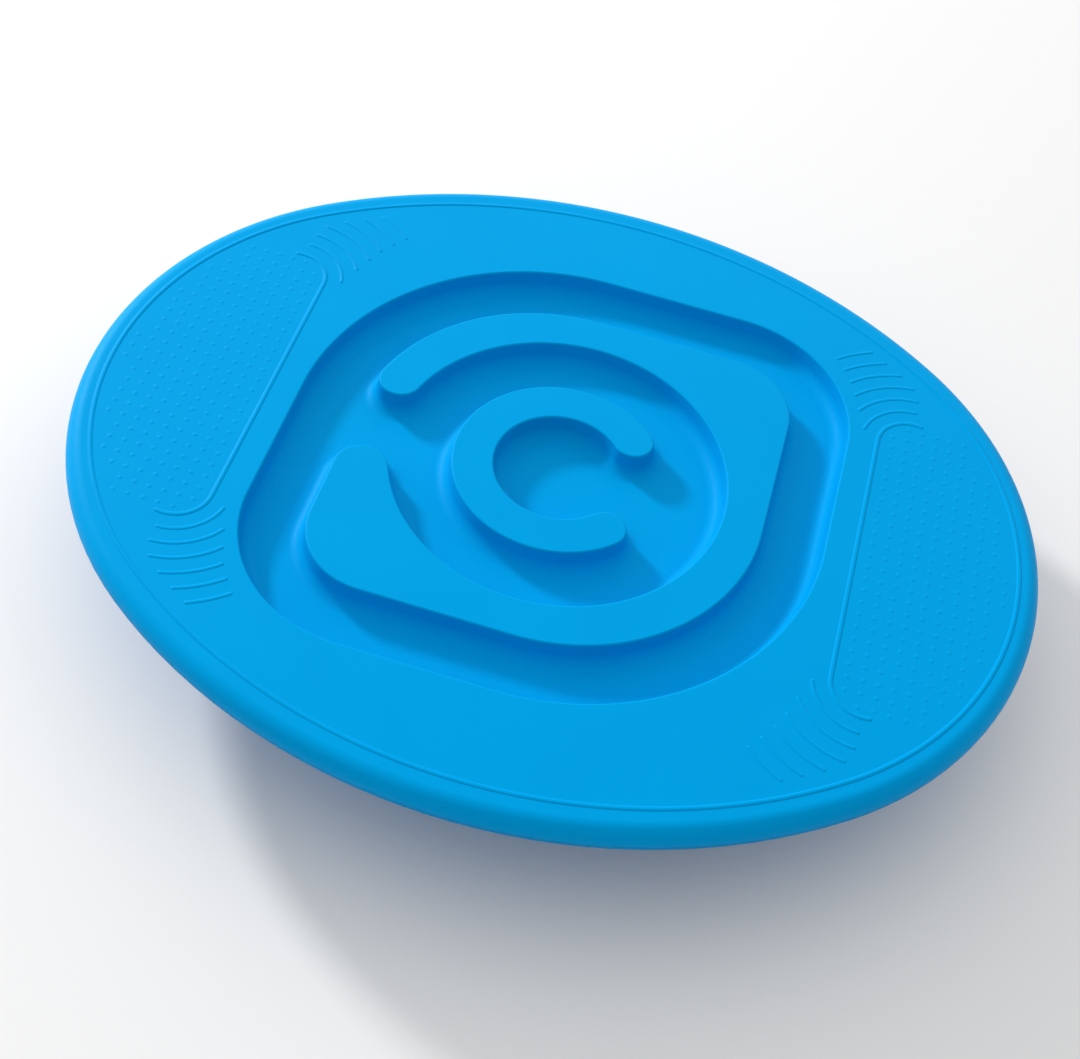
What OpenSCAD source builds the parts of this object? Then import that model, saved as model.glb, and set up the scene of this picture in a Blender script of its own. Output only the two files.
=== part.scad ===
// Maze balance board: an oval standing deck with a moulded ball maze, closed
// from below by a ribbed pan and carried on a screwed-on rocker dome.
// Frame: millimetres, +Z up. Origin on the floor under the middle of the board,
// +X along the long axis (through both foot areas), +Y towards the far side.

/* [Board] */
// Length of the board over the rim, along X
board_len = 576; // [540:1:620]
// Width of the board over the rim, along Y
board_wid = 472; // [450:1:500]
// Radius of the bull-nosed edge, half of the edge's thickness
edge_r = 10; // [9.5:0.5:12]
// Height of the deck surface above the floor
deck_h = 90; // [88:0.5:96]
// Wall of the deck moulding
deck_wall = 3.5; // [3:0.1:3.8]
// Wall of the pan moulding
pan_wall = 3; // [2.6:0.1:3.2]

/* [Maze] */
// Depth of the maze channel below the deck
channel_depth = 15; // [12:0.5:15.5]
// Radius of the round pocket in the middle
pocket_r = 39; // [36:0.5:40]
// Width of the channel everywhere
channel_w = 37; // [35:0.5:38]
// Width of the walls between the channels
wall_w = 24; // [22:0.5:24.5]
// Outer corner radius of the channel, tight corners
corner_tight = 80; // [74:1:84]
// Outer corner radius of the channel, wide corners
corner_wide = 154; // [148:1:158]
// Half angle of the opening in the C-shaped wall, to the tip centres
c_open = 43.5; // [38:0.5:50]

/* [Foot areas] */
// Distance of each foot area's inner edge from the middle
pad_x = 178.5; // [177:0.5:184]
// Half length between the corner centres of each foot area
pad_half = 91; // [80:1:94]
// Corner radius of the foot area's border
pad_r = 20.5; // [16:0.5:24]
// Height of the raised borders and ripples
bead_h = 0.8; // [0.6:0.1:1.6]
// Width of the raised borders and ripples
bead_w = 3.2; // [2.4:0.1:4]
// Number of ripples beyond each corner of the foot areas
ripples = 6; // [3:1:6]

/* [Rocker] */
// Radius of the rocking surface
rock_r = 165; // [160:1:176]
// Radius of the non-slip tread on the rocker
tread_r = 92; // [80:1:94]
// Thickness of the tread
tread_t = 3; // [2.5:0.1:3.5]
// Wall of the rocker dome
dome_wall = 4; // [3.5:0.1:5]
// Radius of the circle that the rocker's screws stand on
rocker_pcd_r = 112; // [110:0.5:113]

/* [Hidden] */
$fn = 96;
e = 0.01;
ha = board_len / 2;
hb = board_wid / 2;
over = 0.05;                         // how far a rounded end stands out from the sides that it closes
mid_z = deck_h - edge_r;             // widest line of the rim, where deck and pan meet
low_z = deck_h - 2 * edge_r;         // underside of the rim
seat_z = low_z - 4;                  // underside of the pan's round middle
seat_r = 204;
floor_z = deck_h - channel_depth;    // maze floor
tray_z = floor_z - 3;                // underside of the maze tray
rc = pocket_r + wall_w;              // outside of the C wall
ri = rc + channel_w;                 // inside of the island
hi = ri + wall_w;                    // half size of the island
hg = hi + channel_w;                 // half size of the whole channel
rock_z = sqrt(rock_r * rock_r - 44 * 44); // flat foot of 44 mm radius on the floor
// round tip of the upper island arm, touching the ring channel and the wide corner
t1_r = 12.8;
t1 = tip_wide(t1_r);
// round tip of the lower island arm, touching the ring channel and the straight side
t2_r = 15.7;
t2 = [-(hi - t2_r), -sqrt(pow(ri + t2_r, 2) - pow(hi - t2_r, 2))];
shell_n = 12;
rock_n = 6;

// centre of a circle of radius r that touches the ring channel from outside and
// the island's wide corner, whose centre lies at (-k, k), from inside
function tip_wide(r) = let(
    k = corner_wide - channel_w - hi, rb = corner_wide - channel_w,
    c = [k, -k], d1 = ri + r, d2 = rb - r,
    s = (d1 * d1 + 2 * k * k - d2 * d2) / (2 * k),   // x - y of the centre
    p = (s * s - d1 * d1) / 2)                       // minus the product of x and y
  [-(abs(s) + sqrt(s * s - 4 * p)) / 2, (abs(s) - sqrt(s * s - 4 * p)) / 2];

// point of the oval in the direction t of its own parameter, for parts placed near the rim
function on_oval(t, inset) = [(ha - inset) * cos(t), (hb - inset) * sin(t)];

// four-arc oval outline with half sizes a and b. The arcs join where the line through
// their centres has a slope of 4 to 3, so an oval drawn in by d keeps the same centres.
module oval(a, b) {
  k = (a - b) / 2;                     // ends: centres (+-3k, 0), radius b - k; sides: centres (0, -+4k), radius b + 4k
  r = b - k;
  jx = 3 * k + 0.6 * r;
  jy = 0.8 * r;
  polygon([[jx, jy], [-jx, jy], [-3 * k, 0], [-jx, -jy], [jx, -jy], [3 * k, 0]]);
  for (s = [-1, 1]) {
    intersection() {
      translate([s * 3 * k, 0]) circle(r);
      polygon([[s * 3 * k, 0], [s * (3 * k + 1.2 * r), 1.6 * r], [s * (3 * k + 1.2 * r), -1.6 * r]]);
    }
    intersection() {
      translate([0, -s * 4 * k]) circle(b + 4 * k);
      polygon([[-2 * jx, s * jy], [2 * jx, s * jy], [0, s * 3 * b]]);
    }
  }
}
module board(inset) { oval(ha - inset, hb - inset); }

// sweeps the children, drawn as [distance in from the edge as negative x, z], round the rim
module round_rim() {
  k = (ha - hb) / 2;
  for (s = [-1, 1]) {
    intersection() {
      translate([s * 3 * k, 0]) rotate_extrude($fn = 180) translate([hb - k, 0]) children();
      linear_extrude(200) polygon([[s * 3 * k, 0], [s * (3 * k + 300), 400], [s * (3 * k + 300), -400]]);
    }
    intersection() {
      translate([0, -s * 4 * k]) rotate_extrude($fn = 180) translate([hb + 4 * k, 0]) children();
      linear_extrude(200) polygon([[0, -s * 4 * k], [600, s * (800 - 4 * k)], [-600, s * (800 - 4 * k)]]);
    }
  }
}

// square of half size h with two tight and two wide corners, opposite in pairs
module leaf(h, rt, rw) {
  polygon([[h, -h + rw], [h, h - rt], [h - rt, h], [-h + rw, h],
           [-h, h - rw], [-h, -h + rt], [-h + rt, -h], [h - rw, -h]]);
  for (s = [-1, 1]) {
    translate([s * (h - rt), s * (h - rt)]) circle(rt);
    translate([s * (h - rw), -s * (h - rw)]) circle(rw);
  }
}
// island between the outer channel and the ring channel, drawn in by d
module island(d) {
  c0 = [-(hi - (corner_wide - channel_w)), hi - (corner_wide - channel_w)];
  u = (t1 - c0) / norm(t1 - c0);
  difference() {
    leaf(hi - d, corner_tight - channel_w - d, corner_wide - channel_w - d);
    circle(ri + d);
    polygon([[0, 0], t1, c0 + 170 * u, [-210, (c0 + 170 * u)[1]], [-210, t2[1]], t2]);
  }
  translate(t1) circle(t1_r - d + over);
  translate(t2) circle(t2_r - d + over);
}
// C-shaped wall round the pocket, drawn in by d
module c_wall(d) {
  m = (pocket_r + rc) / 2;
  difference() {
    circle(rc - d);
    circle(pocket_r + d);
    polygon([[0, 0], 2 * m * [cos(c_open), -sin(c_open)], 2 * m * [cos(c_open), sin(c_open)]]);
  }
  for (s = [-1, 1]) translate(m * [cos(c_open), s * sin(c_open)]) circle(wall_w / 2 - d + over);
}
module ring(r, w) { difference() { circle(r + w / 2); circle(r - w / 2); } }
// raised border along the inner edge of one foot area, with its two rounded corners
module pad_border() {
  cx = pad_x + pad_r;
  translate([pad_x - bead_w / 2, -pad_half]) square([bead_w, 2 * pad_half]);
  for (s = [-1, 1]) translate([cx, s * pad_half]) {
    intersection() { ring(pad_r, bead_w); polygon([[0, 0], [-40, 0], [-40, s * 60], [12, s * 60]]); }
    translate(pad_r * [sin(11.3), s * cos(11.3)]) circle(bead_w / 2 + over);
  }
}
// ripple number k beyond the corner at the +Y end of the +X foot area
module ripple(k) {
  a0 = [0, 12, 30, 39, 44, 46, 47][k];
  a1 = [0, 88, 88, 84, 76, 69, 64][k];
  r = pad_r + 10.1 * k;
  translate([pad_x + pad_r, pad_half]) {
    intersection() { ring(r, bead_w - 0.6); polygon([[0, 0], 2 * r * [-cos(a0), sin(a0)], 3 * r * [-cos((a0 + a1) / 2), sin((a0 + a1) / 2)], 2 * r * [-cos(a1), sin(a1)]]); }
    for (a = [a0, a1]) translate(r * [-cos(a), sin(a)]) circle((bead_w - 0.6) / 2 + over);
  }
}

module deck() color("deepskyblue") difference() {
  union() {
    // plate, with the maze cut out of it
    translate([0, 0, deck_h - deck_wall]) linear_extrude(deck_wall) difference() {
      board(edge_r + 1);
      difference() { leaf(hg, corner_tight, corner_wide); island(0); c_wall(0); }
    }
    // upper half of the rolled rim
    round_rim() difference() {
      union() {
        intersection() { translate([-edge_r, mid_z]) circle(edge_r); translate([-edge_r, mid_z]) square(20); }
        translate([-edge_r - 2, mid_z]) square([2, edge_r]);
      }
      translate([-edge_r, mid_z]) circle(edge_r - deck_wall);
      translate([-edge_r - 5, mid_z - 5]) square([5, 5 + edge_r - deck_wall]);
    }
    // maze tray: outer wall, floor, and the hollow walls of the island and of the C
    translate([0, 0, tray_z]) linear_extrude(deck_h - tray_z) difference() {
      leaf(hg + 3, corner_tight + 3, corner_wide + 3);
      leaf(hg, corner_tight, corner_wide);
    }
    translate([0, 0, tray_z]) linear_extrude(3) difference() {
      leaf(hg + 1, corner_tight + 1, corner_wide + 1);
      island(1); c_wall(1);
    }
    translate([0, 0, tray_z]) linear_extrude(deck_h - tray_z - e) { difference() { island(0); island(3); } difference() { c_wall(0); c_wall(3); } }
    // raised lines on the deck: rim line, foot area borders and ripples
    translate([0, 0, deck_h - 1]) linear_extrude(1 + bead_h) {
      difference() { oval(ha - 14 + bead_w / 2, hb - 17 + bead_w / 2); oval(ha - 14 - bead_w / 2, hb - 17 - bead_w / 2); }
      for (s = [0, 180]) rotate(s) {
        pad_border();
        for (k = [1 : ripples]) { ripple(k); mirror([0, 1]) ripple(k); }
      }
    }
    // screw bosses
    for (i = [0 : shell_n - 1]) translate(on_oval(15 + 30 * i, 30)) translate([0, 0, low_z + 6.8]) cylinder(h = deck_h - deck_wall - low_z - 6.7, r = 4.6);
    for (i = [0 : rock_n - 1]) rotate(30 + 60 * i) translate([rocker_pcd_r, 0, seat_z + 3.2]) cylinder(h = deck_h - deck_wall - seat_z - 3.1, r = 7);
  }
  for (i = [0 : shell_n - 1]) translate(on_oval(15 + 30 * i, 30)) translate([0, 0, low_z + 6]) cylinder(h = 9.2, r = 2);
  for (i = [0 : rock_n - 1]) rotate(30 + 60 * i) translate([rocker_pcd_r, 0, seat_z + 3]) cylinder(h = 16, r = 2.5);
}

// ribs of the pan, drawn flat
module rib_plan() {
  for (s = [-1, 1]) {
    for (y = [-80, -40, 0, 40, 80]) translate([s * 219 - 45, y - 1.25]) square([90, 2.5]);
    for (x = [196, 238]) translate([s * x - 1.25, -86]) square([2.5, 172]);
    for (x = [-84, 0, 84]) translate([x - 1.25, s * 192 - 22]) square([2.5, 44]);
  }
}
module bumper_holes() { for (i = [0 : 5]) bumper_at(60 * i) for (s = [-1, 1]) translate([s * 11, 0, low_z - 1]) cylinder(h = pan_wall + 2, r = 2.9); }
module base_pan() color("deepskyblue") difference() {
  union() {
    difference() {
      union() {
        translate([0, 0, low_z]) linear_extrude(pan_wall) board(edge_r + 1);
        translate([0, 0, seat_z]) cylinder(h = low_z - seat_z + pan_wall, r = seat_r);
      }
      translate([0, 0, seat_z + pan_wall]) cylinder(h = 20, r = seat_r - pan_wall);
    }
    // lower half of the rim, with the lip that enters the deck
    round_rim() {
      difference() {
        union() {
          intersection() { translate([-edge_r, mid_z]) circle(edge_r); translate([-edge_r, low_z - 1]) square([20, edge_r + 0.8]); }
          translate([-edge_r - 2, low_z]) square([2, edge_r - 0.2]);
        }
        translate([-edge_r, mid_z]) circle(edge_r - pan_wall);
        translate([-edge_r - 5, low_z + pan_wall]) square([5, 20]);
      }
      // lip that enters the deck
      translate([-pan_wall - 3.8, mid_z - 6.6]) square([2, 10]);
    }
    // ribs up to just under the deck
    translate([0, 0, low_z + pan_wall - 1]) linear_extrude(deck_h - deck_wall - 0.2 - low_z - pan_wall + 1) rib_plan();
    // cups round the shell screws
    for (i = [0 : shell_n - 1]) translate(on_oval(15 + 30 * i, 30)) translate([0, 0, low_z]) cylinder(h = 6.6, r = 7);
  }
  // room for the deck's bosses, screws and their heads
  for (i = [0 : shell_n - 1]) translate(on_oval(15 + 30 * i, 30)) {
    translate([0, 0, low_z - 1]) cylinder(h = 5.2, r = 4.8);
    translate([0, 0, low_z - 1]) cylinder(h = 20, r = 2.2);
    translate([0, 0, low_z + 6.6]) cylinder(h = 20, r = 5.2);
  }
  for (i = [0 : rock_n - 1]) rotate(30 + 60 * i) translate([rocker_pcd_r, 0, seat_z - 1]) cylinder(h = 5, r = 2.9);
  bumper_holes();
}

// half profile of the rocking surface at radius r, cut off at the floor plus d
module cap_profile(r, d) {
  intersection() {
    translate([0, rock_z]) circle(r, $fn = 360);
    translate([0, d]) square([300, seat_z - d]);
  }
}
module rocker_dome() color("deepskyblue") difference() {
  union() {
    rotate_extrude($fn = 180) difference() {
      union() {
        cap_profile(rock_r - tread_t, tread_t);
        difference() { cap_profile(rock_r, 0); translate([-1, -1]) square([tread_r + 1.4, 100]); }
      }
      cap_profile(rock_r - tread_t - dome_wall, tread_t + dome_wall);
    }
    intersection() {
      rotate_extrude($fn = 180) cap_profile(rock_r - tread_t - 0.5, tread_t + 0.5);
      union() {
        for (i = [0 : rock_n - 1]) rotate(30 + 60 * i) {
          translate([8, -1.5, 0]) cube([125, 3, seat_z - 1.4]);
          translate([rocker_pcd_r, 0, 0]) cylinder(h = seat_z, r = 11);
        }
        cylinder(h = seat_z - 0.2, r = 15);
      }
    }
  }
  translate([0, 0, tread_t + dome_wall + 1]) cylinder(h = 100, r = 12);
  for (i = [0 : rock_n - 1]) rotate(30 + 60 * i) translate([rocker_pcd_r, 0, -1]) {
    cylinder(h = 55, r = 7.5);
    cylinder(h = 90, r = 2.9);
  }
}
module rocker_tread() color("dimgray") rotate_extrude($fn = 180) difference() {
  cap_profile(rock_r, 0);
  cap_profile(rock_r - tread_t, tread_t);
  translate([tread_r, -1]) square(200);
  for (r = [14, 26]) translate([r, -1]) square([3, 2.2]);
  // grooves across the curved part, each square to the surface
  for (a = [19, 22.5, 26, 29.5]) translate([0, rock_z]) rotate(a - 90) translate([rock_r - 1.3, -1.5]) square([5, 3]);
}
module rocker_screws() color("silver") for (i = [0 : rock_n - 1]) rotate(30 + 60 * i) translate([rocker_pcd_r, 0, 0]) difference() {
  union() {
    translate([0, 0, 49.3]) cylinder(h = 3.5, r = 4.8);
    translate([0, 0, 52]) cylinder(h = 31, r = 2.4);
  }
  translate([0, 0, 49.2]) linear_extrude(2.3) for (a = [0, 90]) rotate(a) square([5, 1.1], center = true);
}
module rocker_washers() color("silver") for (i = [0 : rock_n - 1]) rotate(30 + 60 * i) translate([rocker_pcd_r, 0, 52.8]) difference() {
  cylinder(h = 1.2, r = 6.8);
  translate([0, 0, -1]) cylinder(h = 4, r = 2.7);
}
module pocket_plugs() color("dimgray") for (i = [0 : rock_n - 1]) intersection() {
  rotate(30 + 60 * i) translate([rocker_pcd_r, 0, 20]) cylinder(h = 28.6, r = 7.4);
  translate([0, 0, rock_z]) sphere(rock_r - 0.3, $fn = 180);
}
module shell_screws() color("silver") for (i = [0 : shell_n - 1]) translate(on_oval(15 + 30 * i, 30)) difference() {
  union() {
    translate([0, 0, low_z + 1.4]) cylinder(h = 2.7, r = 4.2);
    translate([0, 0, low_z + 4]) cylinder(h = 10.5, r = 1.9);
  }
  translate([0, 0, low_z + 1.3]) linear_extrude(1.6) for (a = [0, 90]) rotate(a) square([4.4, 1], center = true);
}

// places a bumper under the rim at the parameter t, lying along the rim
module bumper_at(t) { p = on_oval(t, 27); translate([p[0], p[1], 0]) rotate(atan2((hb - 27) * cos(t), -(ha - 27) * sin(t))) children(); }
module bumper(t) color("dimgray") bumper_at(t) {
  translate([0, 0, low_z - 5]) linear_extrude(5) { square([30, 13], center = true); for (s = [-1, 1]) translate([s * 15, 0]) circle(6.5); }
  for (s = [-1, 1]) translate([s * 11, 0, low_z - e]) {
    cylinder(h = pan_wall + 2.4, r = 2.7);
    translate([0, 0, pan_wall + 0.3]) cylinder(h = 1.6, r = 3.6);
  }
}

deck();
base_pan();
rocker_dome();
rocker_tread();
rocker_screws();
rocker_washers();
pocket_plugs();
shell_screws();
bumper(0);  // bumper_right
bumper(60);  // bumper_rear_right
bumper(120);  // bumper_rear_left
bumper(180);  // bumper_left
bumper(240);  // bumper_front_left
bumper(300);  // bumper_front_right
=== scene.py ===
"""Looks of the maze balance board: moulded deck with its fine relief, plastics, rubber and steel, floor, lights and camera.
Metres, in the same frame as the CAD. Shapes are worked out in millimetres and scaled once, when a mesh is made."""
import math

import bpy
import numpy as np
from mathutils import Matrix, Vector
from mathutils.geometry import delaunay_2d_cdt


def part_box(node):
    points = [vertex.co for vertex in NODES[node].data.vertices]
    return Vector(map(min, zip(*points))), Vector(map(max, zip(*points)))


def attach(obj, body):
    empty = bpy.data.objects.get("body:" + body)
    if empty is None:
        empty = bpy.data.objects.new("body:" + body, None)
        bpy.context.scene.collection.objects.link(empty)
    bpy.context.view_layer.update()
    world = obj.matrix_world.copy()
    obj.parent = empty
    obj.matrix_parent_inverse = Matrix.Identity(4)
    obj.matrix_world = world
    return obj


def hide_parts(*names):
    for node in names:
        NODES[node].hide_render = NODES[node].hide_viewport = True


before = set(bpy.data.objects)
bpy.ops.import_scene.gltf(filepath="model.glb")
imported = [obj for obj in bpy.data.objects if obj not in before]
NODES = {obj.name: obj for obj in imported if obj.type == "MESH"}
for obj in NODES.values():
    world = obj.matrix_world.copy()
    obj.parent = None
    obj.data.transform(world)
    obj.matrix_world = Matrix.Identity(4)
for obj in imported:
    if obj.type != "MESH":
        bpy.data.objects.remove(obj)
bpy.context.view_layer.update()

# ---------------------------------------------------------------- sizes, mm
low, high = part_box("deck")
HA, HB = round(high.x * 1000, 3), round(high.y * 1000, 3)  # half length and half width
ER = 10.0                      # radius of the rolled rim
TOP = 90.0                     # deck surface
FLOOR = TOP - 15.0             # maze floor
SEAM = TOP - ER                # widest line of the rim
HI, HG = 124.0, 161.0          # half sizes of the island and of the whole channel


def oval_path(a, b):
    """Elements of the four-arc oval with half sizes a and b, counter-clockwise."""
    k = (a - b) / 2
    t = math.degrees(math.atan2(4, 3))
    r, big = b - k, b + 4 * k
    return [("arc", 3 * k, 0, r, -t, t), ("arc", 0, -4 * k, big, t, 180 - t),
            ("arc", -3 * k, 0, r, 180 - t, 180 + t), ("arc", 0, 4 * k, big, 180 + t, 360 - t)]


def leaf_path(h, rt, rw):
    """Square with two tight and two wide corners."""
    return [("line", h, -h + rw, h, h - rt), ("arc", h - rt, h - rt, rt, 0, 90),
            ("line", h - rt, h, -h + rw, h), ("arc", -h + rw, h - rw, rw, 90, 180),
            ("line", -h, h - rw, -h, -h + rt), ("arc", -h + rt, -h + rt, rt, 180, 270),
            ("line", -h + rt, -h, h - rw, -h), ("arc", h - rw, -h + rw, rw, 270, 360)]


def tip_wide(r, ring=100.0, k=-7.0, rb=117.0):
    """Centre of a circle that touches the ring channel from outside and the wide corner from inside."""
    lo_t, hi_t = math.radians(140), math.radians(178)
    def miss(t):
        x, y = (ring + r) * math.cos(t), (ring + r) * math.sin(t)
        return math.hypot(x - k, y + k) - (rb - r)
    a, b = lo_t, hi_t
    fa = miss(a)
    for _ in range(80):
        m = (a + b) / 2
        fm = miss(m)
        if (fm > 0) == (fa > 0):
            a, fa = m, fm
        else:
            b = m
    return (ring + r) * math.cos(a), (ring + r) * math.sin(a)


def deg(x, y):
    return math.degrees(math.atan2(y, x))


def island_path():
    r1, r2 = 12.8, 15.7
    x1, y1 = tip_wide(r1)
    x2 = -(HI - r2)
    y2 = -math.sqrt((100 + r2) ** 2 - x2 ** 2)
    u1 = deg(x1 + 7, y1 - 7)
    a1 = deg(-x1, -y1)          # from the tip's centre to the ring's centre
    a2 = deg(-x2, -y2)
    return [("arc", x2, y2, r2, a2, 180), ("line", -HI, y2, -HI, -81), ("arc", -81, -81, 43, 180, 270),
            ("line", -81, -HI, 7, -HI), ("arc", 7, -7, 117, 270, 360), ("line", HI, -7, HI, 81),
            ("arc", 81, 81, 43, 0, 90), ("line", 81, HI, -7, HI), ("arc", -7, 7, 117, 90, u1),
            ("arc", x1, y1, r1, u1, a1 + 360), ("arc", 0, 0, 100, deg(x1, y1), deg(x2, y2))]


def c_path(half=43.5):
    cx, cy = 51 * math.cos(math.radians(half)), 51 * math.sin(math.radians(half))
    return [("arc", 0, 0, 63, half, 360 - half), ("arc", cx, -cy, 12, 360 - half, 540 - half),
            ("arc", 0, 0, 39, 360 - half, half), ("arc", cx, cy, 12, half + 180, half + 360)]


def sample(path, step=2.0, closed=True, turn=5.0):
    """Points, tangents and right-hand normals along a path. On a counter-clockwise loop the normals point out of it."""
    P, T = [], []
    for e in path:
        if e[0] == "line":
            a, b = np.array(e[1:3], float), np.array(e[3:5], float)
            n = max(1, int(math.ceil(np.linalg.norm(b - a) / (step * 2))))
            d = (b - a) / np.linalg.norm(b - a)
            for i in range(n):
                P.append(a + (b - a) * i / n)
                T.append(d)
            last, last_t = b, d
        else:
            cx, cy, r, a0, a1 = e[1:]
            n = max(1, int(math.ceil(max(math.radians(abs(a1 - a0)) * r / step, abs(a1 - a0) / turn))))
            s = 1 if a1 > a0 else -1
            for i in range(n + 1):
                t = math.radians(a0 + (a1 - a0) * i / n)
                p, d = np.array([cx + r * math.cos(t), cy + r * math.sin(t)]), s * np.array([-math.sin(t), math.cos(t)])
                if i < n:
                    P.append(p)
                    T.append(d)
                else:
                    last, last_t = p, d
    if not closed:
        P.append(last)
        T.append(last_t)
    P, T = np.array(P), np.array(T)
    return P, T, np.c_[T[:, 1], -T[:, 0]]


class Build:
    """Collects patches of a mesh with exact normals, then makes one welded object of them."""

    def __init__(self):
        self.v, self.n, self.f, self.count = [], [], [], 0

    def add(self, v, n, f):
        v, n = np.asarray(v, float), np.asarray(n, float)
        self.v.append(v)
        self.n.append(n / np.linalg.norm(n, axis=1)[:, None])
        self.f += [tuple(i + self.count for i in q) for q in f]
        self.count += len(v)

    def loft(self, rings, normals, closed=True, flip=False):
        """Quads between rings of equal length."""
        m = len(rings[0])
        f = []
        for j in range(len(rings) - 1):
            for i in range(m if closed else m - 1):
                a, b = j * m + i, j * m + (i + 1) % m
                q = (a, b, b + m, a + m)
                f.append(q[::-1] if flip else q)
        self.add(np.vstack(rings), np.vstack(normals), f)

    def fill(self, loops, z, up=1):
        """Flat region bounded by closed loops, even-odd."""
        pts = np.vstack(loops)
        edges, base = [], 0
        for l in loops:
            m = len(l)
            edges += [(base + i, base + (i + 1) % m) for i in range(m)]
            base += m
        out = delaunay_2d_cdt([Vector((float(x), float(y))) for x, y in pts], edges, [], 0, 1e-5)
        co = np.array([pts[o[0]] if len(o) else (v.x, v.y) for v, o in zip(out[0], out[3])])
        tri = np.array([list(t) for t in out[2]], int)
        c = co[tri].mean(axis=1)
        A, B = pts[[e[0] for e in edges]], pts[[e[1] for e in edges]]
        inside = np.zeros(len(c), bool)
        for s in range(0, len(c), 2000):
            q = c[s:s + 2000]
            ya, yb = A[None, :, 1] > q[:, None, 1], B[None, :, 1] > q[:, None, 1]
            with np.errstate(divide="ignore", invalid="ignore"):
                x = A[None, :, 0] + (q[:, None, 1] - A[None, :, 1]) / (B - A)[None, :, 1] * (B - A)[None, :, 0]
            inside[s:s + 2000] = ((ya != yb) & (x > q[:, None, 0])).sum(axis=1) % 2 == 1
        tri = tri[inside]
        p, q, r = co[tri[:, 0]], co[tri[:, 1]], co[tri[:, 2]]
        area = (q - p)[:, 0] * (r - p)[:, 1] - (q - p)[:, 1] * (r - p)[:, 0]
        tri[area * up < 0] = tri[area * up < 0][:, ::-1]
        self.add(np.c_[co, np.full(len(co), z)], np.tile([0, 0, up], (len(co), 1)), [tuple(t) for t in tri[np.abs(area) > 1e-9]])

    def make(self, name):
        v, n = np.vstack(self.v), np.vstack(self.n)
        key = np.round(v * 2000).astype(np.int64)
        _, first, back = np.unique(key, axis=0, return_index=True, return_inverse=True)
        back = back.ravel()
        faces, normals, seen = [], [], set()
        for q in self.f:
            w, keep = [], []
            for i in q:
                if not w or (back[i] != w[-1] and back[i] != w[0]):
                    w.append(int(back[i]))
                    keep.append(i)
            if len(w) < 3 or tuple(sorted(w)) in seen:
                continue
            seen.add(tuple(sorted(w)))
            faces.append(w)
            normals += [tuple(n[i]) for i in keep]
        me = bpy.data.meshes.new(name)
        me.from_pydata((v[first] * 0.001).tolist(), [], faces)
        me.shade_smooth()
        me.normals_split_custom_set(normals)
        me.update()
        o = bpy.data.objects.new(name, me)
        bpy.context.scene.collection.objects.link(o)
        return o


def ring3(P, N, d, z):
    return np.c_[P + d * N, np.full(len(P), z)]


def hump(width, height):
    """Half section of a raised line: distances from its middle, heights and slopes."""
    s = np.array([1.0, 0.9, 0.78, 0.62, 0.42, 0.2, 0.0])
    z = np.array([0.0, 0.10, 0.36, 0.68, 0.90, 0.985, 1.0])
    slope = np.array([0.0, 1.7, 2.1, 1.55, 0.75, 0.25, 0.0]) * height / width * 1.15
    return s * width, z * height, slope


def outline(P, T, N, s, caps=7):
    """Closed outline at distance s round an open path, and the outward directions."""
    a = np.linspace(0, math.pi, caps + 2)[1:-1]
    end = np.array([N[-1] * math.cos(t) + T[-1] * math.sin(t) for t in a])
    start = np.array([-N[0] * math.cos(t) - T[0] * math.sin(t) for t in a])
    D = np.vstack([N, end, -N[::-1], start])
    C = np.vstack([P, np.tile(P[-1], (caps, 1)), P[::-1], np.tile(P[0], (caps, 1))])
    return C, D


def add_bead(b, C, D, width, height, z0):
    """A raised line on the flat at z0; returns its outline at the flat."""
    S, Z, K = hump(width, height)
    rings = [np.c_[C + s * D, np.full(len(C), z0 + z)] for s, z in zip(S, Z)]
    normals = [np.c_[D * k, np.ones(len(C))] for k in K]
    b.loft(rings, normals)
    return C + S[0] * D


# ---------------------------------------------------------------- the deck
def wall_profile(draft=8.0, top_r=1.3, foot_r=8.5):
    """Section of a channel's edge: (distance into the channel, height, normal) from the deck down to the maze floor. The rounded edge reaches 0.4 mm into the channel."""
    t = math.radians(draft)
    depth = TOP - FLOOR
    c1 = (0.4 - top_r, -top_r)
    out = [(c1[0] + top_r * math.cos(math.radians(p)), c1[1] + top_r * math.sin(math.radians(p)), math.cos(math.radians(p)), math.sin(math.radians(p)))
           for p in (90, 79, 67, 55, 43, 31, 18, draft)]
    d0, z0 = out[-1][:2]
    zf = -depth + foot_r - foot_r * math.sin(t)
    df = d0 + (z0 - zf) * math.tan(t)
    out.append(((d0 + df) / 2, (z0 + zf) / 2, math.cos(t), math.sin(t)))
    c2 = (df + foot_r * math.cos(t), -depth + foot_r)
    for p in (draft, 15, 26, 38, 50, 63, 76, 90):
        q = math.radians(p)
        out.append((c2[0] - foot_r * math.cos(q), c2[1] - foot_r * math.sin(q), math.cos(q), math.sin(q)))
    return out


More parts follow.
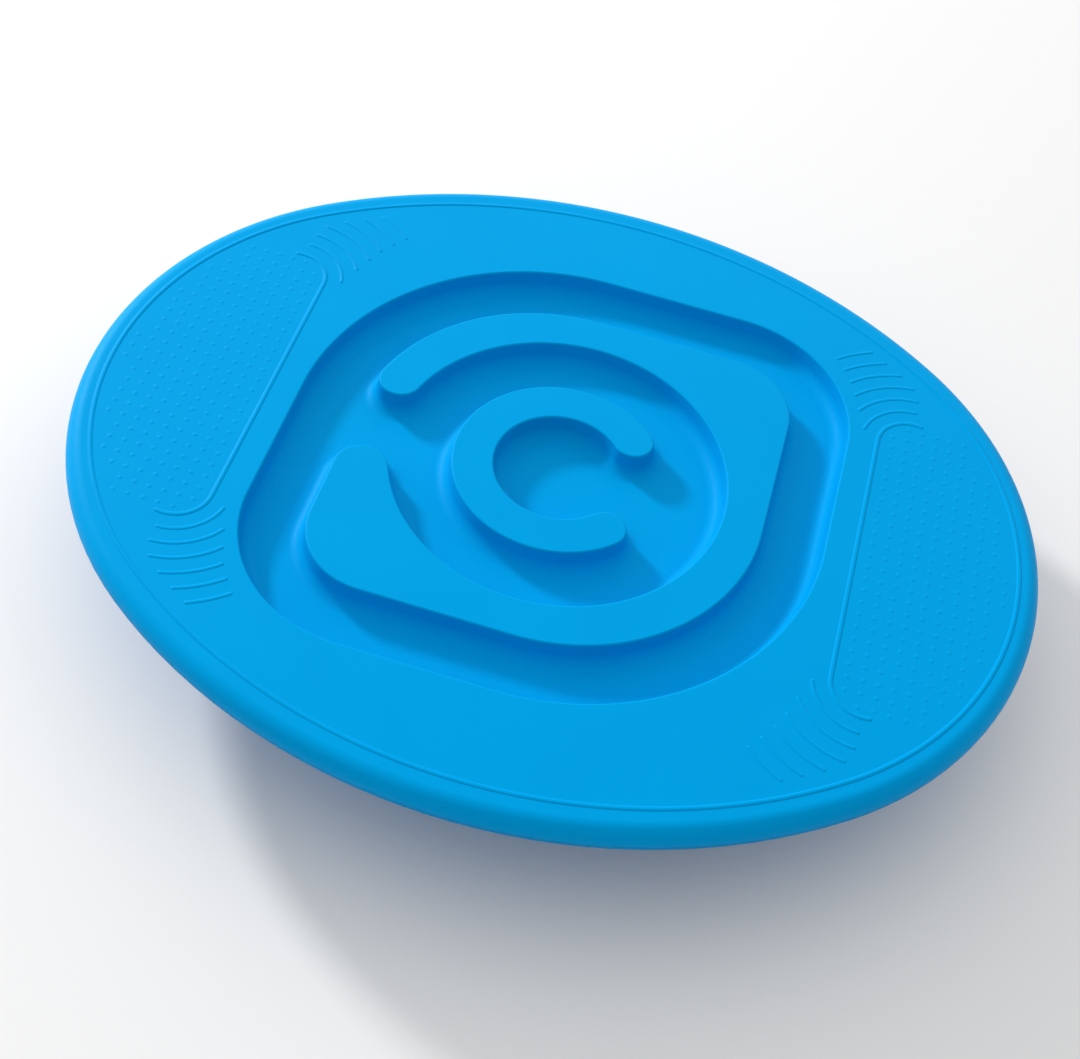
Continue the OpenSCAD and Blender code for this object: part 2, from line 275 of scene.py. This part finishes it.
def make_deck():
    b = Build()
    prof = wall_profile()
    tops, feet = [], []
    for path, side in ((leaf_path(HG, 80, 154), -1), (island_path(), 1), (c_path(), 1)):
        P, T, N = sample(path)
        D = N * side              # towards the channel
        rings = [ring3(P, D, d, TOP + z) for d, z, _, _ in prof]
        normals = [np.c_[D * nd, np.full(len(P), nz)] for _, _, nd, nz in prof]
        b.loft(rings, normals, flip=side > 0)
        tops.append(rings[0][:, :2])
        feet.append(rings[-1][:, :2])
    b.fill(feet, FLOOR)           # maze floor
    b.fill([tops[1]], TOP)        # island
    b.fill([tops[2]], TOP)        # C wall
    # flat of the deck, with its raised lines and the foot areas' pips
    holes = []
    P, T, N = sample(oval_path(HA - 14, HB - 17), 2.5)
    S, Z, K = hump(1.6, 0.5)
    for s in (-1, 1):
        b.loft([ring3(P, N * s, d, TOP + z) for d, z in zip(S, Z)], [np.c_[N * s * k, np.ones(len(P))] for k in K], flip=s < 0)
        holes.append(P + s * S[0] * N)
    rim_line = holes[-2]
    px, ph, pr = 178.5, 91.0, 20.5
    for s in (1, -1):
        def turned(path):
            return path if s > 0 else [
                (e[0], -e[1], -e[2], e[3], e[4] + 180, e[5] + 180) if e[0] == "arc" else (e[0], -e[1], -e[2], -e[3], -e[4]) for e in path]
        border = [("arc", px + pr, ph, pr, 90 - 11.3, 180), ("line", px, ph, px, -ph), ("arc", px + pr, -ph, pr, 180, 270 + 11.3)]
        P, T, N = sample(turned(border), 2.0, False)
        C, D = outline(P, T, N, 0)
        holes.append(add_bead(b, C, D, 1.6, 0.45, TOP))
        for k in range(1, 7):
            a0 = (0, 12, 30, 39, 44, 46, 47)[k]
            a1 = (0, 88, 88, 84, 76, 69, 64)[k]
            for m in (1, -1):
                arc = [("arc", px + pr, m * ph, pr + 10.1 * k, 180 - m * a0, 180 - m * a1)]
                P, T, N = sample(turned(arc), 2.0, False, 3.0)
                C, D = outline(P, T, N, 0)
                holes.append(add_bead(b, C, D, 1.35, 0.36, TOP))
    # pips: low round studs on a square grid, inside the border and the rim line
    pitch, rad, tall = 8.8, 1.85, 0.13
    ang = np.radians(np.arange(0, 360, 30))
    U = np.c_[np.cos(ang), np.sin(ang)]
    lv = [(1.0, 0.0, 0.0), (0.86, 0.2, 1.2 * tall / 0.9), (0.68, 0.6, 1.7 * tall / 0.9), (0.42, 0.92, 0.7 * tall / 0.9)]
    kk = (HA - 14 - (HB - 17)) / 2
    inset = 8.0
    for s in (1, -1):
        for i in range(0, 11):
            for j in range(-13, 14):
                x, y = px + 8.4 + pitch * i, pitch * j
                c = np.array([x, y]) * s
                # room to the rim line
                ex, er = 3 * kk, (HB - 17) - kk
                r_here = math.hypot(abs(x) - ex, y)
                if math.degrees(math.atan2(abs(y), abs(x) - ex)) > 53.13:
                    r_here = math.hypot(x, abs(y) + 4 * kk) - 5 * kk
                if r_here > er - inset + 0.5:
                    continue
                if abs(y) > ph + pr - 5.0:
                    continue
                if abs(y) > ph and x < px + pr and math.hypot(x - px - pr, abs(y) - ph) > pr - 5.5:
                    continue
                b.loft([np.c_[c + U * rad * q, np.full(12, TOP + tall * h)] for q, h, _ in lv], [np.c_[U * g, np.full(12, 1.0)] for _, _, g in lv])
                m = b.count
                b.add(np.vstack([np.c_[c + U * rad * 0.42, np.full(12, TOP + tall * 0.92)], [[c[0], c[1], TOP + tall]]]),
                      np.vstack([np.c_[U * lv[3][2], np.ones(12)], [[0, 0, 1]]]), [(n, (n + 1) % 12, 12) for n in range(12)])
                holes.append(c + U * rad)
    # rolled rim down to the seam
    P, T, N = sample(oval_path(HA - ER, HB - ER), 2.5)
    ph_ = np.radians(np.linspace(90, 0, 13))
    b.loft([ring3(P, N, ER * math.cos(t), SEAM + ER * math.sin(t)) for t in ph_], [np.c_[N * math.cos(t), np.full(len(P), math.sin(t))] for t in ph_], flip=True)
    b.fill([P, tops[0]] + holes, TOP)
    # inside and underside, which close the moulding
    ir = ER - 3.5
    b.loft([ring3(P, N, ER, SEAM), ring3(P, N, ir, SEAM)], [np.tile([0, 0, -1], (len(P), 1))] * 2, flip=True)
    pi_ = np.radians(np.linspace(0, 90, 6))
    b.loft([ring3(P, N, ir * math.cos(t), SEAM + ir * math.sin(t)) for t in pi_], [np.c_[-N * math.cos(t), np.full(len(P), -math.sin(t))] for t in pi_], flip=True)
    Q, _, M = sample(leaf_path(HG + 3, 83, 157), 4.0)
    b.fill([P, Q], SEAM + ir, up=-1)
    b.loft([ring3(Q, M, 0, SEAM + ir), ring3(Q, M, 0, FLOOR - 3)], [np.c_[M, np.zeros(len(Q))]] * 2, flip=True)
    b.fill([Q], FLOOR - 3, up=-1)
    return b.make("deck_moulding")


deck = make_deck()
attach(deck, "root")
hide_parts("deck")


# ---------------------------------------------------------------- materials
def nodes_of(name):
    m = bpy.data.materials.new(name)
    m.use_nodes = True
    nt = m.node_tree
    nt.nodes.clear()
    out = nt.nodes.new("ShaderNodeOutputMaterial")
    sh = nt.nodes.new("ShaderNodeBsdfPrincipled")
    nt.links.new(sh.outputs[0], out.inputs[0])
    return m, nt, sh


def noise(nt, scale, detail=3.0, rough=0.5, coord=None):
    n = nt.nodes.new("ShaderNodeTexNoise")
    n.inputs["Scale"].default_value = scale
    n.inputs["Detail"].default_value = detail
    n.inputs["Roughness"].default_value = rough
    nt.links.new(coord.outputs["Object"], n.inputs["Vector"])
    return n


def span(nt, value, lo_, hi_, from_lo=0.0, from_hi=1.0):
    r = nt.nodes.new("ShaderNodeMapRange")
    r.inputs["From Min"].default_value = from_lo
    r.inputs["From Max"].default_value = from_hi
    r.inputs["To Min"].default_value = lo_
    r.inputs["To Max"].default_value = hi_
    nt.links.new(value, r.inputs["Value"])
    return r.outputs["Result"]


def plastic(name, dark, light, rough=(0.40, 0.52), grain=0.10):
    """Satin moulded plastic: fine spark-eroded grain, faint unevenness of gloss and colour."""
    m, nt, sh = nodes_of(name)
    co = nt.nodes.new("ShaderNodeTexCoord")
    big, fine, tiny = noise(nt, 18, 2, 0.5, co), noise(nt, 900, 2, 0.6, co), noise(nt, 2600, 1, 0.5, co)
    mix = nt.nodes.new("ShaderNodeMix")
    mix.data_type = "RGBA"
    mix.inputs["A"].default_value = (*dark, 1)
    mix.inputs["B"].default_value = (*light, 1)
    nt.links.new(span(nt, big.outputs["Fac"], 0, 1, 0.3, 0.7), mix.inputs["Factor"])
    nt.links.new(mix.outputs["Result"], sh.inputs["Base Color"])
    nt.links.new(span(nt, fine.outputs["Fac"], *rough, 0.3, 0.7), sh.inputs["Roughness"])
    add = nt.nodes.new("ShaderNodeMath")
    add.operation = "ADD"
    nt.links.new(fine.outputs["Fac"], add.inputs[0])
    nt.links.new(tiny.outputs["Fac"], add.inputs[1])
    bump = nt.nodes.new("ShaderNodeBump")
    bump.inputs["Strength"].default_value = grain
    bump.inputs["Distance"].default_value = 0.0002
    nt.links.new(add.outputs[0], bump.inputs["Height"])
    nt.links.new(bump.outputs["Normal"], sh.inputs["Normal"])
    sh.inputs["IOR"].default_value = 1.5
    sh.inputs["Specular IOR Level"].default_value = 0.05
    sh.inputs["Specular Tint"].default_value = (0.02, 0.5, 1.0, 1)
    return m


BLUE = plastic("blue_plastic", (0.0, 0.335, 0.735), (0.0, 0.345, 0.75))
# pan and dome: the deck's blue painted about a fifth darker, as painted shade for the underside of the rolled rim
PAN_PAINTED_SHADE = plastic("blue_pan_plastic_painted_shade", (0.0, 0.265, 0.61), (0.0, 0.28, 0.63), (0.42, 0.56), 0.14)


def rubber():
    m, nt, sh = nodes_of("dark_rubber")
    co = nt.nodes.new("ShaderNodeTexCoord")
    a, g = noise(nt, 60, 4, 0.6, co), noise(nt, 1500, 2, 0.6, co)
    mix = nt.nodes.new("ShaderNodeMix")
    mix.data_type = "RGBA"
    mix.inputs["A"].default_value = (0.022, 0.024, 0.027, 1)
    mix.inputs["B"].default_value = (0.040, 0.042, 0.046, 1)
    nt.links.new(span(nt, a.outputs["Fac"], 0, 1, 0.3, 0.7), mix.inputs["Factor"])
    nt.links.new(mix.outputs["Result"], sh.inputs["Base Color"])
    nt.links.new(span(nt, a.outputs["Fac"], 0.62, 0.8, 0.3, 0.7), sh.inputs["Roughness"])
    bump = nt.nodes.new("ShaderNodeBump")
    bump.inputs["Strength"].default_value = 0.25
    bump.inputs["Distance"].default_value = 0.0002
    nt.links.new(g.outputs["Fac"], bump.inputs["Height"])
    nt.links.new(bump.outputs["Normal"], sh.inputs["Normal"])
    sh.inputs["Specular IOR Level"].default_value = 0.35
    return m


def steel():
    m, nt, sh = nodes_of("zinc_steel")
    co = nt.nodes.new("ShaderNodeTexCoord")
    a = noise(nt, 700, 3, 0.6, co)
    mix = nt.nodes.new("ShaderNodeMix")
    mix.data_type = "RGBA"
    mix.inputs["A"].default_value = (0.50, 0.51, 0.53, 1)
    mix.inputs["B"].default_value = (0.62, 0.63, 0.64, 1)
    nt.links.new(span(nt, a.outputs["Fac"], 0, 1, 0.3, 0.7), mix.inputs["Factor"])
    nt.links.new(mix.outputs["Result"], sh.inputs["Base Color"])
    nt.links.new(span(nt, a.outputs["Fac"], 0.25, 0.42, 0.3, 0.7), sh.inputs["Roughness"])
    sh.inputs["Metallic"].default_value = 1.0
    return m


RUBBER, STEEL = rubber(), steel()
deck.data.materials.clear()
deck.data.materials.append(BLUE)
for name, o in NODES.items():
    mat = RUBBER
    # base pan and rocker dome get the darker blue with painted shade
    if name in ("base_pan", "rocker_dome"):
        mat = PAN_PAINTED_SHADE
    elif name in ("rocker_screws", "rocker_washers", "shell_screws"):
        mat = STEEL
    elif name == "deck":
        mat = BLUE
    o.data.materials.clear()
    o.data.materials.append(mat)

# ---------------------------------------------------------------- floor, light, camera
bpy.ops.mesh.primitive_plane_add(size=60, location=(0, 0, 0))
floor = bpy.context.object
floor.name = "floor"
fm, nt, sh = nodes_of("pale_floor")
co = nt.nodes.new("ShaderNodeTexCoord")
fn = noise(nt, 3, 2, 0.5, co)
mix = nt.nodes.new("ShaderNodeMix")
mix.data_type = "RGBA"
mix.inputs["A"].default_value = (0.88, 0.88, 0.88, 1)
mix.inputs["B"].default_value = (0.89, 0.89, 0.89, 1)
nt.links.new(fn.outputs["Fac"], mix.inputs["Factor"])
nt.links.new(mix.outputs["Result"], sh.inputs["Base Color"])
sh.inputs["Roughness"].default_value = 0.9
sh.inputs["Specular IOR Level"].default_value = 0.1
floor.data.materials.append(fm)

scene = bpy.context.scene
scene.view_settings.view_transform = "Standard"
scene.view_settings.look = "None"
world = bpy.data.worlds.new("studio")
scene.world = world
world.use_nodes = True
bg = world.node_tree.nodes["Background"]
bg.inputs["Color"].default_value = (1.0, 1.0, 1.0, 1)
wt = world.node_tree
wc = wt.nodes.new("ShaderNodeTexCoord")
dot = wt.nodes.new("ShaderNodeVectorMath")
dot.operation = "DOT_PRODUCT"
dot.inputs[1].default_value = (-0.30, 0.42, 0.86)
wt.links.new(wc.outputs["Generated"], dot.inputs[0])
wt.links.new(span(wt, dot.outputs["Value"], 0.26, 1.06, -0.2, 1.0), bg.inputs["Strength"])


def area(name, at, size, power, aim=(0, 0, 0.08), color=(1, 1, 1)):
    l = bpy.data.lights.new(name, "AREA")
    l.shape = "DISK"
    l.size = size
    l.energy = power
    l.color = color
    o = bpy.data.objects.new(name, l)
    scene.collection.objects.link(o)
    o.location = at
    o.rotation_mode = "QUATERNION"
    o.rotation_quaternion = (Vector(aim) - Vector(at)).to_track_quat("-Z", "Y")
    return o


area("key", (-0.777 * 3.4, 0.485 * 3.4, 0.402 * 3.4 + 0.08), 0.46, 83)

cam = bpy.data.cameras.new("camera")
cam_o = bpy.data.objects.new("camera", cam)
scene.collection.objects.link(cam_o)
scene.camera = cam_o
cam.sensor_fit = "HORIZONTAL"
cam.sensor_width = 36
cam.lens = 56.073
cam.clip_start, cam.clip_end = 0.01, 100
rows = [(0.9575442197, 0.2646814652, 0.1142488043), (0.2776301979, -0.7398903488, -0.6127672846), (-0.0776565551, 0.6184706895, -0.7819612942)]
x, y, z = Vector(rows[0]), -Vector(rows[1]), -Vector(rows[2])
place = Matrix((x, y, z)).transposed().to_4x4()
place.translation = Vector((0.075893, -0.639073, 0.835668))
cam_o.matrix_world = place
